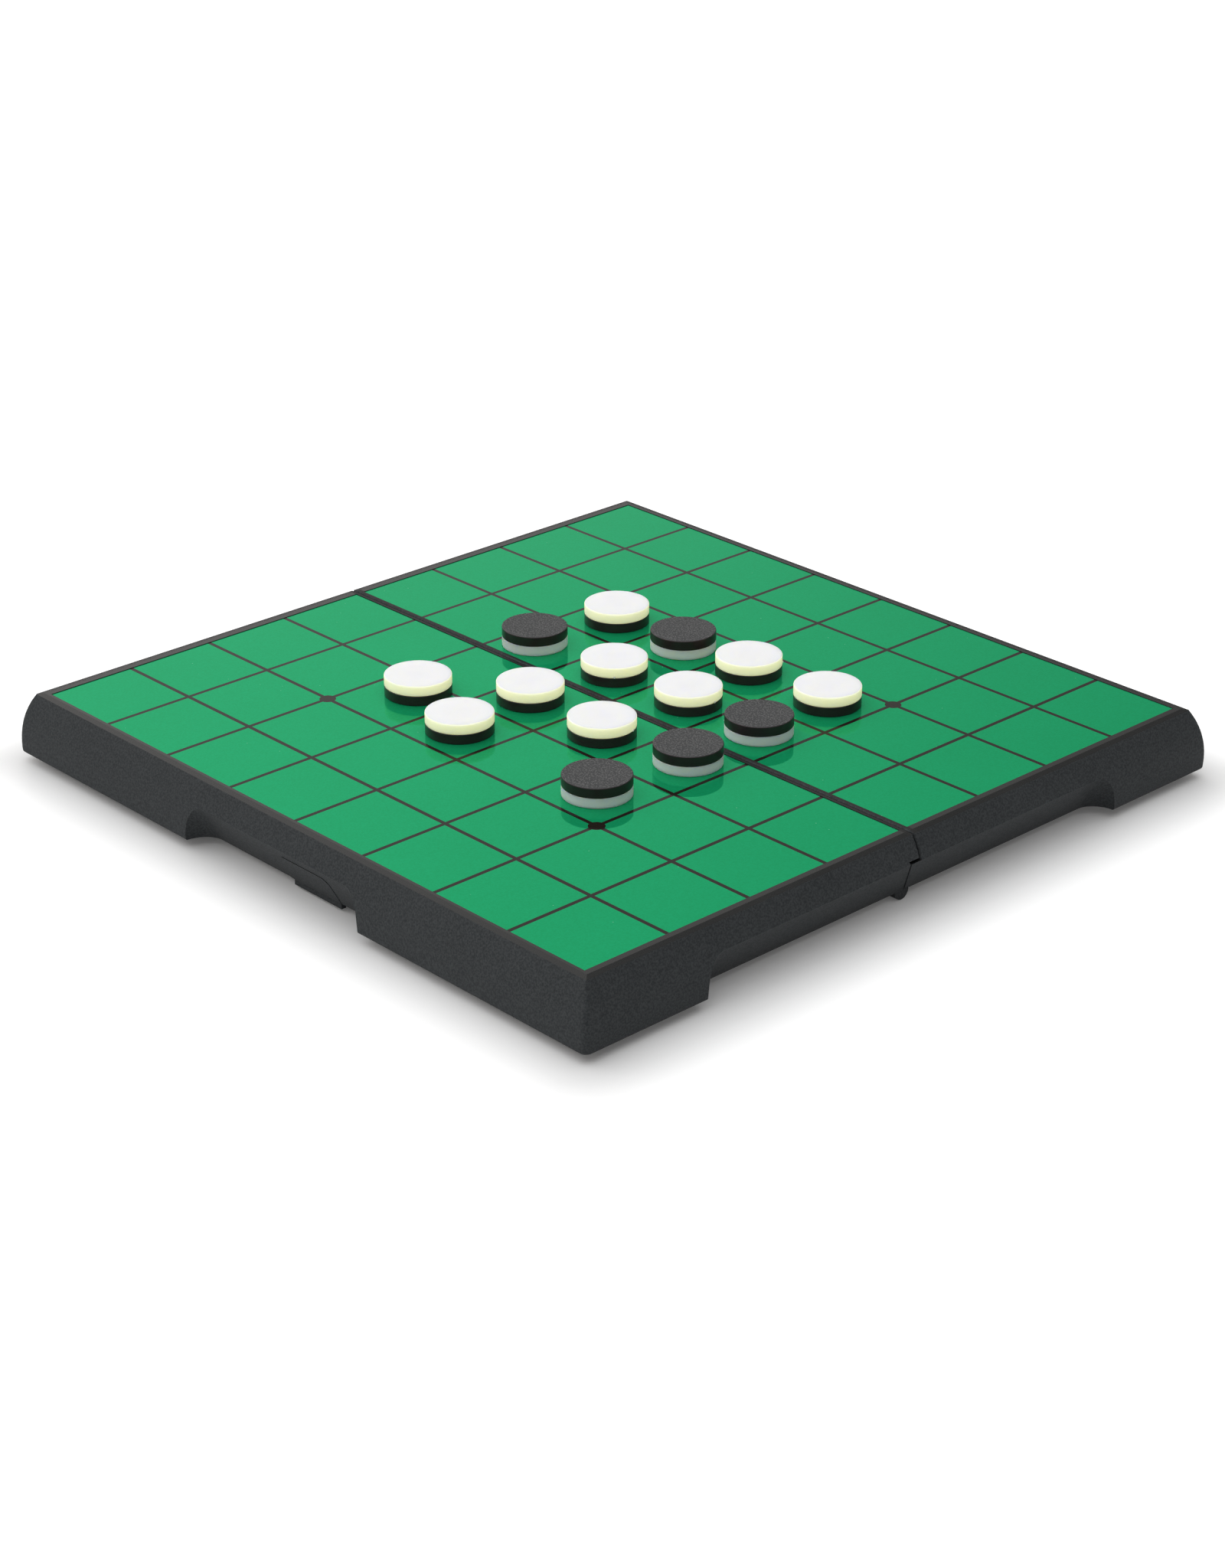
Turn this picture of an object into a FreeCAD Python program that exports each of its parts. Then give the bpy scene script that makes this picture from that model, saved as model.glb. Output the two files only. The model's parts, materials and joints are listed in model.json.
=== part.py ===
"""Folding magnetic reversi board, opened flat, with fourteen two-coloured discs on it.

Frame, in millimetres: +Z up, origin on the table under the middle of the fold.
The fold runs along Y. The left half lies at x < 0 and the right half at x > 0.
The two halves turn about a hinge line at the bottom edge of their skirts, so that they
fold under and their hollow undersides meet and make a case for the discs.
"""
import FreeCAD, Part
import Sketcher
import os

doc = FreeCAD.newDocument("reversi_board")

# Driving dimensions
SIZES = [
    ("cell_side", 29.5, "side of one square of the field"),
    ("fold_gap", 2.4, "field lines of the two halves apart at the fold"),
    ("seam", 0.4, "open seam between the two halves"),
    ("fold_break", 0.4, "broken edge of each half along the seam"),
    ("rim_across", 2.6, "field to top outline, across the fold"),
    ("rim_along", 3.5, "field to top outline, along the fold"),
    ("bevel_width", 1.9, "sloping outer strip of the rim, in plan"),
    ("bevel_drop", 0.3, "fall of that strip"),
    ("wall_bulge", 4.5, "widest outline beyond the top outline"),
    ("bulge_level", 2.6, "widest outline above the skirt's bottom edge"),
    ("corner_top", 0.6, "corner rounding at the rim"),
    ("corner_low", 2.4, "corner rounding at the skirt's bottom edge"),
    ("skirt_round", 0.7, "rounding of the skirt's bottom edge"),
    ("seam_round", 0.5, "rounding of each half's outline where the seam meets it"),
    ("float_gap", 3.0, "skirt's bottom edge above the table"),
    ("tray_height", 18.95, "skirt's bottom edge to rim"),
    ("skin", 2.2, "thickness of the moulded walls"),
    ("deck", 2.0, "thickness of the moulded deck"),
    ("film_sink", 0.2, "playing surface below the rim"),
    ("film_thick", 0.4, "printed green film"),
    ("plate_thick", 0.8, "steel sheet under the film"),
    ("film_trim", 0.4, "film edge inside the field outline"),
    ("recess_play", 0.1, "film to the wall of its recess"),
    ("line_width", 1.35, "printed line"),
    ("print_thick", 0.1, "depth of the printed lines"),
    ("star_radius", 2.5, "printed dot"),
    ("scoop_depth", 7.8, "finger scoop at the skirt's bottom edge"),
    ("scoop_rise", 11.7, "finger scoop up the wall"),
    ("scoop_round", 7.0, "rounding of a scoop's ends"),
    ("end_block", 38.8, "end wall left whole, from the corner of the rim to its scoop"),
    ("near_block", 86.1, "side wall left whole, from the near corner of the rim to its scoop"),
    ("far_block", 79.5, "side wall left whole, from the far corner of the rim to its scoop"),
    ("pivot_radius", 2.8, "hinge knuckle"),
    ("pivot_play", 0.3, "running clearance around the hinge"),
    ("ear_reach", 3.6, "right half's ear over the left half"),
    ("ear_foot", 1.0, "foot of the ear's joint line beyond the middle of the fold"),
    ("ear_lap", 0.5, "ear and tip let into their own half"),
    ("knuckle_length", 5.0, "each inner hinge knuckle"),
    ("pin_radius", 0.8, "hinge pin"),
    ("pin_play", 0.05, "pin to its bore"),
    ("pin_cover", 1.2, "plastic over the pin's outer end"),
    ("tongue_centre", -8.2, "latch tongue, along the fold"),
    ("tongue_width", 20.7, "latch tongue"),
    ("tongue_thick", 1.6, "latch tongue"),
    ("tongue_inset", 0.2, "latch tongue behind the foot of its scoop, and up into the wall"),
    ("tongue_drop", 1.9, "latch tongue below the skirt"),
    ("tongue_play", 0.3, "latch tongue to its notch in the other half"),
    ("pad_rise", 9.0, "thumb pad over the latch tongue, up the wall"),
    ("pad_proud", 0.15, "thumb pad over the scoop's slope"),
    ("pad_margin", 0.5, "thumb pad past each end of the latch tongue"),
    ("pad_round", 2.8, "rounding of the thumb pad's upper corners"),
    ("post_radius", 4.0, "locating post"),
    ("post_side_gap", 1.6, "locating posts to the side wall's inner face"),
    ("post_end_gap", 2.3, "left half's posts to the end wall's inner face"),
    ("post_pass", 4.0, "left half's posts to the right half's, when folded shut"),
    ("disc_radius", 10.2, "disc"),
    ("disc_thick", 6.3, "disc, both colours together"),
    ("disc_round", 0.3, "rounding of a disc's faces"),
    ("joint_break", 0.15, "broken edge where the two colours meet"),
    ("magnet_radius", 4.0, "magnet in a disc"),
    ("magnet_thick", 2.0, "magnet in a disc"),
    ("magnet_play", 0.1, "magnet to its pocket"),
    ("spigot_radius", 6.2, "ring that joins the two colours"),
    ("spigot_wall", 1.0, "ring that joins the two colours"),
    ("spigot_length", 0.8, "ring that joins the two colours"),
    ("overrun", 3.0, "how far a cutting form runs past what it cuts"),
]
SQUARES = 4     # squares on each side of the fold, and on each side of the middle along it

sheet = doc.addObject("Spreadsheet::Sheet", "Sizes")
for row, (alias, value, meaning) in enumerate(SIZES, 1):
    sheet.set(f"A{row}", meaning)
    sheet.set(f"B{row}", str(value))
    sheet.setAlias(f"B{row}", alias)
worked = doc.addObject("Spreadsheet::Sheet", "Worked")
doc.recompute()


def sized(text):
    """An expression with each alias, written as {alias}, taken from the sheet."""
    for alias, _, _ in SIZES:
        text = text.replace("{" + alias + "}", "Sizes." + alias)
    return "(" + text + ")"


def number(expression):
    """The value that an expression has on the sheet now."""
    worked.set("A1", "=" + expression)
    worked.recompute()
    return float(worked.get("A1"))


# Levels and outlines worked out from the driving dimensions
SKIRT_Z = sized("{float_gap}")
RIM_Z = sized("{float_gap} + {tray_height}")
EDGE_Z = sized(f"{RIM_Z} - {{bevel_drop}}")
FIELD_Z = sized(f"{RIM_Z} - {{film_sink}}")
PRINT_Z = sized(f"{FIELD_Z} - {{print_thick}}")
PLATE_TOP_Z = sized(f"{FIELD_Z} - {{film_thick}}")
PLATE_Z = sized(f"{PLATE_TOP_Z} - {{plate_thick}}")
HOLLOW_Z = sized(f"{PLATE_Z} - {{deck}}")
FOLD_X = sized("{seam} / 2")
FIELD_X = sized(f"{{fold_gap}} / 2 + {SQUARES} * {{cell_side}}")
FIELD_Y = sized(f"{SQUARES} * {{cell_side}}")
TOP_X = sized(f"{FIELD_X} + {{rim_across}}")
TOP_Y = sized(f"{FIELD_Y} + {{rim_along}}")
WIDEST_Z = sized("{float_gap} + {bulge_level}")
BULGE_RISE = sized(f"{EDGE_Z} - {WIDEST_Z}")
WALL_RADIUS = sized(f"({{wall_bulge}} ^ 2 + {BULGE_RISE} ^ 2) / (2 * {{wall_bulge}})")
LOW_SHARE = sized(f"sqrt({WALL_RADIUS} ^ 2 - {{bulge_level}} ^ 2)")
RISE_SHARE = sized(f"sqrt({WALL_RADIUS} ^ 2 - ({{scoop_rise}} - {{bulge_level}}) ^ 2)")
AXIS_X = sized(f"{TOP_X} + {{wall_bulge}} - {WALL_RADIUS}")
AXIS_Y = sized(f"{TOP_Y} + {{wall_bulge}} - {WALL_RADIUS}")
LOW_X = sized(f"{AXIS_X} + {LOW_SHARE}")
LOW_Y = sized(f"{AXIS_Y} + {LOW_SHARE}")
REACH = sized(f"{TOP_X} + {TOP_Y} + {{wall_bulge}}")


def add(kind, name, **placed):
    """A Part object whose properties are bound to expressions."""
    made = doc.addObject(kind, name)
    for path, expression in placed.items():
        made.setExpression(path.replace("__", "."), expression)
    return made


def block(name, x, y, z):
    """A box between two expressions on each axis."""
    made = doc.addObject("Part::Box", name)
    for axis, side, (low, high) in zip("xyz", ("Length", "Width", "Height"), (x, y, z)):
        made.setExpression("Placement.Base." + axis, low)
        made.setExpression(side, f"{high} - {low}")
    return made


def rod_along(name, radius, y, x="0", z=SKIRT_Z):
    """A round rod parallel to the fold, between two expressions of y."""
    made = doc.addObject("Part::Cylinder", name)
    made.Placement.Rotation = FreeCAD.Rotation(FreeCAD.Vector(1, 0, 0), -90)
    made.setExpression("Radius", radius)
    made.setExpression("Height", f"{y[1]} - {y[0]}")
    made.setExpression("Placement.Base.x", x)
    made.setExpression("Placement.Base.y", y[0])
    made.setExpression("Placement.Base.z", z)
    return made


def cut(name, base, tool):
    made = doc.addObject("Part::Cut", name)
    made.Base = base
    made.Tool = tool
    return made


def common(name, one, other):
    made = doc.addObject("Part::Common", name)
    made.Base = one
    made.Tool = other
    return made


def fuse(name, pieces):
    made = doc.addObject("Part::MultiFuse", name)
    made.Shapes = pieces
    made.Refine = True
    return made


def mirrored(name, source):
    """The other half's copy of a piece, across the fold."""
    made = doc.addObject("Part::Mirroring", name)
    made.Source = source
    made.Normal = FreeCAD.Vector(1, 0, 0)
    return made


def closed_sketch(body, role, corners, arcs=None):
    """A closed outline, drawn counter-clockwise, with its corners bound to expressions.

    corners: (across, up) expressions, None where an arc's radius settles it.
    arcs: the side's number and the expressions of its centre.
    """
    arcs = arcs or {}
    sketch = body.newObject("Sketcher::SketchObject", "outline")
    plane = next(item for item in body.Origin.OriginFeatures if item.Role == role)
    sketch.AttachmentSupport = [(plane, "")]
    sketch.MapMode = "FlatFace"
    points = []
    for side, (across, up) in enumerate(corners):
        if across is None:
            centre = arcs[side] if side in arcs else arcs[side - 1]
            across = centre[2]
        points.append(FreeCAD.Vector(number(across), number(up), 0))
    for side, start in enumerate(points):
        end = points[(side + 1) % len(points)]
        if side in arcs:
            centre = FreeCAD.Vector(number(arcs[side][0]), number(arcs[side][1]), 0)
            middle = centre + ((start + end) * 0.5 - centre).normalize() * (start - centre).Length
            sketch.addGeometry(Part.Arc(start, middle, end), False)
        else:
            sketch.addGeometry(Part.LineSegment(start, end), False)
    for side in range(len(points)):
        following = (side + 1) % len(points)
        sketch.addConstraint(Sketcher.Constraint("Coincident", side, 2, following, 1))

    def bind(kind, geometry, position, expression):
        place = sketch.getPoint(geometry, position)
        value = place.x if kind == "DistanceX" else place.y
        held = sketch.addConstraint(Sketcher.Constraint(kind, -1, 1, geometry, position, value))
        sketch.setExpression(f"Constraints[{held}]", expression)

    for side, (across, up) in enumerate(corners):
        if across is not None:
            bind("DistanceX", side, 1, across)
        bind("DistanceY", side, 1, up)
    for side, centre in arcs.items():
        bind("DistanceX", side, 3, centre[0])
        bind("DistanceY", side, 3, centre[1])
    return sketch


def padded(name, role, corners, length, arcs=None):
    """A body padded both ways from the middle."""
    body = doc.addObject("PartDesign::Body", name)
    sketch = closed_sketch(body, role, corners, arcs)
    pad = body.newObject("PartDesign::Pad", name + "_pad")
    pad.Profile = sketch
    pad.SideType = "Symmetric"
    pad.setExpression("Length", length)
    sketch.Visibility = False
    return body


def across_form(name, inset, fold_x, low_z, top_z, rim):
    """One half's form across the fold: straight at the seam, bulging at the outer side."""
    share = sized(f"sqrt(({WALL_RADIUS} - {inset}) ^ 2 - ({WIDEST_Z} - {low_z}) ^ 2)")
    low_x = sized(f"{AXIS_X} + {share}")
    if rim:
        upper = [(TOP_X, EDGE_Z), (sized(f"{TOP_X} - {{bevel_width}}"), top_z),
                 (sized(f"{fold_x} + {{fold_break}}"), top_z),
                 (fold_x, sized(f"{top_z} - {{fold_break}}"))]
    else:
        high = sized(f"{AXIS_X} + sqrt(({WALL_RADIUS} - {inset}) ^ 2 - ({top_z} - {WIDEST_Z}) ^ 2)")
        upper = [(high, top_z), (fold_x, top_z)]
    corners = [(fold_x, low_z), (None, low_z)] + upper
    return padded(name, "XZ_Plane", corners, f"2 * {REACH}", {1: (AXIS_X, WIDEST_Z, low_x)})


def along_form(name, inset, low_z, top_z, rim):
    """The whole board's form along the fold: bulging at both ends."""
    share = sized(f"sqrt(({WALL_RADIUS} - {inset}) ^ 2 - ({WIDEST_Z} - {low_z}) ^ 2)")
    low_y = sized(f"{AXIS_Y} + {share}")
    if rim:
        high = TOP_Y
        level = EDGE_Z
        flat = sized(f"{TOP_Y} - {{bevel_width}}")
        upper = [(high, level), (flat, top_z), (f"-{flat}", top_z), (f"-{high}", level)]
    else:
        high = sized(f"{AXIS_Y} + sqrt(({WALL_RADIUS} - {inset}) ^ 2 - ({top_z} - {WIDEST_Z}) ^ 2)")
        upper = [(high, top_z), (f"-{high}", top_z)]
    corners = [(None, low_z)] + upper + [(None, low_z)]
    near = len(corners) - 2
    arcs = {0: (AXIS_Y, WIDEST_Z, low_y), near: (f"-{AXIS_Y}", WIDEST_Z, f"-{low_y}")}
    return padded(name, "YZ_Plane", corners, f"2 * {REACH}", arcs)


# Finger scoops: a sloping cut in the lower wall, with rounded ends
OVERRUN = sized("{overrun}")
RISE_X = sized(f"{AXIS_X} + {RISE_SHARE}")
RISE_Y = sized(f"{AXIS_Y} + {RISE_SHARE}")
SLOPE_X = sized(f"({RISE_X} - {LOW_X} + {{scoop_depth}}) / {{scoop_rise}}")
SLOPE_Y = sized(f"({RISE_Y} - {LOW_Y} + {{scoop_depth}}) / {{scoop_rise}}")
BEHIND_X = sized(f"{LOW_X} - {{scoop_depth}} - {{skin}} * sqrt(1 + {SLOPE_X} ^ 2)")
BEHIND_Y = sized(f"{LOW_Y} - {{scoop_depth}} - {{skin}} * sqrt(1 + {SLOPE_Y} ^ 2)")


def scoop(name, role, low, slope, start, end, grown):
    """The space of a finger scoop, or with grown set, the wall's thickness around it too."""
    inward = sized(f"{grown} * sqrt(1 + {slope} ^ 2)")
    foot = sized(f"{low} - {{scoop_depth}} - {inward} - {slope} * {OVERRUN}")
    foot_z = sized(f"{SKIRT_Z} - {OVERRUN}")
    head = sized(f"{foot} + {slope} * ({{scoop_rise}} + 2 * {OVERRUN})")
    head_z = sized(f"{SKIRT_Z} + {{scoop_rise}} + {OVERRUN}")
    outside = sized(f"{head} + {{scoop_depth}}")
    corners = [(foot, foot_z), (outside, foot_z), (outside, head_z), (head, head_z)]
    body = padded(name, role, corners, sized(f"{end} - {start} + 2 * {grown}"))
    doc.recompute()
    pad = body.Tip
    lean = number(slope)
    steep = FreeCAD.Vector(lean, 0, 1) if role == "XZ_Plane" else FreeCAD.Vector(0, lean, 1)
    steep.normalize()
    ends = [f"Edge{place}" for place, edge in enumerate(pad.Shape.Edges, 1)
            if abs(edge.tangentAt(edge.FirstParameter).dot(steep)) > 0.999]
    rounding = body.newObject("PartDesign::Fillet", name + "_ends")
    rounding.Base = (pad, ends)
    rounding.setExpression("Radius", sized(f"{{scoop_round}} + {grown}"))
    body.Tip = rounding
    if role == "XZ_Plane":
        body.setExpression("Placement.Base.y", sized(f"({start} + {end}) / 2"))
    return body


def turned_back(name, source):
    """The same piece at the other end of the fold."""
    made = mirrored(name, source)
    made.Normal = FreeCAD.Vector(0, 1, 0)
    return made


SIDE_RUN = (sized(f"{{near_block}} - {TOP_Y}"), sized(f"{TOP_Y} - {{far_block}}"))
END_RUN = (sized(f"{{end_block}} - {TOP_X}"), sized(f"{TOP_X} - {{end_block}}"))
side_scoop = scoop("side_scoop", "XZ_Plane", LOW_X, SLOPE_X, *SIDE_RUN, "0")
side_boss = scoop("side_boss", "XZ_Plane", LOW_X, SLOPE_X, *SIDE_RUN, sized("{skin}"))
back_scoop = scoop("back_scoop", "YZ_Plane", LOW_Y, SLOPE_Y, *END_RUN, "0")
back_boss = scoop("back_boss", "YZ_Plane", LOW_Y, SLOPE_Y, *END_RUN, sized("{skin}"))
front_scoop = turned_back("front_scoop", back_scoop)
front_boss = turned_back("front_boss", back_boss)

# The moulded form of a half, and the hollow under its deck
board_form = along_form("board_form", "0", SKIRT_Z, RIM_Z, True)
right_form = across_form("right_form", "0", FOLD_X, SKIRT_Z, RIM_Z, True)
right_blank = common("right_blank", right_form, board_form)
SKIN = sized("{skin}")
BELOW_Z = sized(f"{SKIRT_Z} - {OVERRUN}")
WALL_X = sized(f"{FOLD_X} + {{skin}}")
hollow_along = along_form("hollow_along", SKIN, BELOW_Z, HOLLOW_Z, False)
hollow_across = across_form("hollow_across", SKIN, WALL_X, BELOW_Z, HOLLOW_Z, False)
hollow_form = common("hollow_form", hollow_across, hollow_along)
right_hollow = cut("right_hollow", hollow_form, fuse("bosses", [side_boss, back_boss, front_boss]))
end_stock = cut("end_stock", board_form,
                cut("end_hollow", hollow_along, fuse("end_bosses", [back_boss, front_boss])))
doc.recompute()


TOUCH = 1e-6


def eased(name, base, edges):
    """A piece with edges rounded: each edge's number and the radius at its two ends."""
    made = doc.addObject("Part::Fillet", name)
    made.Base = base
    made.Edges = edges
    doc.recompute()
    return made


def upright_edges(shape, at_seam):
    """The end walls' two upright edges, at the seam or at the corners: number, and runs down."""
    found = []
    for place, edge in enumerate(shape.Edges, 1):
        first, last = edge.Vertexes[0].Point, edge.Vertexes[-1].Point
        upright = abs(last.z - first.z) > number(BULGE_RISE)
        if upright and (max(first.x, last.x) < number(FIELD_X)) == at_seam:
            found.append((place, first.z > last.z))
    return found


def foot_edges(shape):
    """The skirt's bottom edges, apart from the one along the seam."""
    found = []
    for place, edge in enumerate(shape.Edges, 1):
        first, last = edge.Vertexes[0].Point, edge.Vertexes[-1].Point
        level = max(abs(first.z - number(SKIRT_Z)), abs(last.z - number(SKIRT_Z))) < TOUCH
        if level and max(first.x, last.x) > number(FOLD_X) + TOUCH:
            found.append(place)
    return found


corner_low = number(sized("{corner_low}"))
corner_top = number(sized("{corner_top}"))
skirt_round = number(sized("{skirt_round}"))
seam_round = number(sized("{seam_round}"))
right_cornered = eased("right_cornered", right_blank, [
    (place, corner_top, corner_low) if downward else (place, corner_low, corner_top)
    for place, downward in upright_edges(right_blank.Shape, False)])
right_footed = eased("right_footed", right_cornered, [
    (place, skirt_round, skirt_round) for place in foot_edges(right_cornered.Shape)])
right_rounded = eased("right_rounded", right_footed, [
    (place, seam_round, seam_round) for place, _ in upright_edges(right_footed.Shape, True)])
right_shell = cut("right_shell", right_rounded, right_hollow)
left_shell = mirrored("left_shell", right_shell)

# Hinge ends: the right half's ear lies over the left half, above a leaning joint line
EAR_Z = sized("{float_gap} + {scoop_rise}")
TIP_X = sized("{ear_foot}")
LEAN = sized("({ear_reach} + {ear_foot}) / {scoop_rise}")
EAR_GAP = sized("2 * {pivot_play}")


def line_z(x, shift):
    """Height of the leaning joint line at x, with the line moved left by shift."""
    return sized(f"{SKIRT_Z} + ({TIP_X} - {shift} - ({x})) / {LEAN}")


def line_x(z, shift):
    """Place of the leaning joint line at height z, with the line moved left by shift."""
    return sized(f"{TIP_X} - {shift} - ({z} - {SKIRT_Z}) * {LEAN}")


def end_prism(name, corners):
    return padded(name, "XZ_Plane", corners, f"2 * {REACH}")


INSIDE_X = sized(f"{FOLD_X} + {{ear_lap}}")
BESIDE_X = f"-{INSIDE_X}"
middle = block("middle", (f"-{REACH}", REACH), (f"-{BEHIND_Y}", BEHIND_Y), (BELOW_Z, RIM_Z))
ear = common("ear", end_stock, end_prism("ear_prism", [
    (line_x(EAR_Z, "0"), EAR_Z), (INSIDE_X, line_z(INSIDE_X, "0")), (INSIDE_X, EAR_Z)]))
ear_swing = sized("sqrt({ear_reach} ^ 2 + {scoop_rise} ^ 2)")
ear_top = sized(f"{SKIRT_Z} + {ear_swing} + {{pivot_play}}")
ear_space = cut("ear_space", end_prism("ear_space_prism", [
    (line_x(ear_top, EAR_GAP), ear_top), (INSIDE_X, line_z(INSIDE_X, EAR_GAP)),
    (INSIDE_X, ear_top)]), middle)
tip = common("tip", end_stock, end_prism("tip_prism", [
    (BESIDE_X, SKIRT_Z), (line_x(SKIRT_Z, EAR_GAP), SKIRT_Z), (BESIDE_X, line_z(BESIDE_X, EAR_GAP))]))
tip_space = cut("tip_space", end_prism("tip_space_prism", [
    (BESIDE_X, BELOW_Z), (line_x(BELOW_Z, "0"), BELOW_Z), (BESIDE_X, line_z(BESIDE_X, "0"))]), middle)

# Knuckles on the hinge line, from the end wall inwards: left, right, left
OUTER_Y = sized(f"{LOW_Y} - {{scoop_depth}}")
RIGHT_FAR = sized(f"{BEHIND_Y} - {{pivot_play}}")
RIGHT_NEAR = sized(f"{RIGHT_FAR} - {{knuckle_length}}")
LEFT_FAR = sized(f"{RIGHT_NEAR} - {{pivot_play}}")
LEFT_NEAR = sized(f"{LEFT_FAR} - {{knuckle_length}}")
SWING = sized("{pivot_radius} + {pivot_play}")
PIVOT = sized("{pivot_radius}")


def both_ends(name, radius, near, far):
    """A rod on the hinge line at the back end of the fold, and one at the front end."""
    return [rod_along(name + "_back", radius, (near, far)),
            rod_along(name + "_front", radius, (f"-{far}", f"-{near}"))]


left_knuckles = both_ends("outer_knuckle", PIVOT, BEHIND_Y, OUTER_Y) + \
    both_ends("inner_knuckle", PIVOT, LEFT_NEAR, LEFT_FAR)
right_knuckles = both_ends("middle_knuckle", PIVOT, RIGHT_NEAR, RIGHT_FAR)
left_room = both_ends("left_room", SWING, LEFT_FAR, BEHIND_Y)
right_room = both_ends("right_room", SWING, sized(f"{LEFT_NEAR} - {{pivot_play}}"), RIGHT_NEAR) + \
    both_ends("right_outer_room", SWING, RIGHT_FAR, sized(f"{OUTER_Y} + {{pivot_play}}"))
PIN_END = sized(f"{OUTER_Y} - {{pin_cover}}")
bores = both_ends("bore", sized("{pin_radius} + {pin_play}"),
                  sized(f"{LEFT_NEAR} - {{pivot_play}}"), PIN_END)
pins = both_ends("pin", sized("{pin_radius}"), LEFT_NEAR, sized(f"{PIN_END} - {{pin_play}}"))

# Playing surface: a printed film on a steel sheet, both in a recess of the tray
FILM_X = (sized("{fold_gap} / 2 + {film_trim}"), sized(f"{FIELD_X} - {{film_trim}}"))
FILM_Y = (sized(f"-({FIELD_Y} - {{film_trim}})"), sized(f"{FIELD_Y} - {{film_trim}}"))
right_plate = block("right_plate", FILM_X, FILM_Y, (PLATE_Z, PLATE_TOP_Z))
right_film_sheet = block("right_film_sheet", FILM_X, FILM_Y, (PLATE_TOP_Z, FIELD_Z))
recess = block("recess", (sized(f"{FILM_X[0]} - {{recess_play}}"), sized(f"{FILM_X[1]} + {{recess_play}}")),
               (sized(f"{FILM_Y[0]} - {{recess_play}}"), sized(f"{FILM_Y[1]} + {{recess_play}}")),
               (PLATE_Z, sized(f"{RIM_Z} + {OVERRUN}")))
lines = []
for count in range(1 - SQUARES, SQUARES):
    middle_y = f"{count} * Sizes.cell_side"
    lines.append(block("line_across", FILM_X,
                       (sized(f"{middle_y} - {{line_width}} / 2"), sized(f"{middle_y} + {{line_width}} / 2")),
                       (PRINT_Z, FIELD_Z)))
for count in range(1, SQUARES):
    middle_x = f"Sizes.fold_gap / 2 + {count} * Sizes.cell_side"
    lines.append(block("line_along",
                       (sized(f"{middle_x} - {{line_width}} / 2"), sized(f"{middle_x} + {{line_width}} / 2")),
                       FILM_Y, (PRINT_Z, FIELD_Z)))
STAR = SQUARES // 2     # the printed dots lie on this line from the fold and from the middle
for side in (-STAR, STAR):
    lines.append(add("Part::Cylinder", "star", Radius=sized("{star_radius}"), Height=sized("{print_thick}"),
                     Placement__Base__x=sized(f"{{fold_gap}} / 2 + {STAR} * {{cell_side}}"),
                     Placement__Base__y=sized(f"{side} * {{cell_side}}"), Placement__Base__z=PRINT_Z))
right_print = fuse("right_print", lines)
right_film = cut("right_film", right_film_sheet, right_print)


POST_X = sized(f"{BEHIND_X} - {{post_side_gap}} - {{post_radius}}")
LEFT_POST_Y = sized(f"{BEHIND_Y} - {{post_end_gap}} - {{post_radius}}")
RIGHT_POST_Y = sized(f"{LEFT_POST_Y} - 2 * {{post_radius}} - {{post_pass}}")


def post(name, x, y):
    """A post that stands one half on the table."""
    return add("Part::Cylinder", name, Radius=sized("{post_radius}"),
               Height=sized(f"{HOLLOW_Z} + {{deck}} / 2"), Placement__Base__x=x, Placement__Base__y=y)


left_posts = [post("left_post", f"-{POST_X}", y) for y in (LEFT_POST_Y, f"-{LEFT_POST_Y}")]
right_posts = [post("right_post", POST_X, y) for y in (RIGHT_POST_Y, f"-{RIGHT_POST_Y}")]

# Latch: a tongue under the foot of the left half's side scoop, with a thumb pad on the slope
# over it, and a notch in the right half's wall that takes the tongue when the board is shut
FOOT_X = sized(f"{LOW_X} - {{scoop_depth}}")
TONGUE_Y = (sized("{tongue_centre} - {tongue_width} / 2"), sized("{tongue_centre} + {tongue_width} / 2"))
TONGUE_X = (sized(f"-({FOOT_X} - {{tongue_inset}})"),
            sized(f"-({FOOT_X} - {{tongue_inset}} - {{tongue_thick}})"))
tongue = block("tongue", TONGUE_X, TONGUE_Y,
               (sized("{float_gap} - {tongue_drop}"), sized("{float_gap} + {tongue_inset}")))
NOTCH_Y = (sized(f"{TONGUE_Y[0]} - {{tongue_play}}"), sized(f"{TONGUE_Y[1]} + {{tongue_play}}"))
notch = block("notch", (sized(f"{BEHIND_X} - {OVERRUN}"), sized(f"{FOOT_X} + {OVERRUN}")), NOTCH_Y,
              (BELOW_Z, sized("{float_gap} + {tongue_drop} + {tongue_play}")))
STEEP = sized(f"sqrt(1 + {SLOPE_X} ^ 2)")
PAD_IN = sized(f"{FOOT_X} - {{skin}} * {STEEP} / 2")
PAD_OUT = sized(f"{FOOT_X} + {{pad_proud}} * {STEEP}")
PAD_Z = sized("{float_gap} + {pad_rise}")
PAD_Y = (sized(f"{TONGUE_Y[0]} - {{pad_margin}}"), sized(f"{TONGUE_Y[1]} + {{pad_margin}}"))
pad_slab = end_prism("pad_slab", [
    (PAD_IN, SKIRT_Z), (PAD_OUT, SKIRT_Z), (sized(f"{PAD_OUT} + {SLOPE_X} * {{pad_rise}}"), PAD_Z),
    (sized(f"{PAD_IN} + {SLOPE_X} * {{pad_rise}}"), PAD_Z)])
pad_outline = block("pad_outline", ("0", REACH), PAD_Y, (SKIRT_Z, PAD_Z))
doc.recompute()
pad_round = number(sized("{pad_round}"))
pad_rounded = eased("pad_rounded", pad_outline, [
    (place, pad_round, pad_round) for place, edge in enumerate(pad_outline.Shape.Edges, 1)
    if edge.BoundBox.XLength > TOUCH and edge.BoundBox.ZMin > number(PAD_Z) - TOUCH])
pad = common("pad", pad_slab, pad_rounded)
left_pad = mirrored("left_pad", pad)

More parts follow.
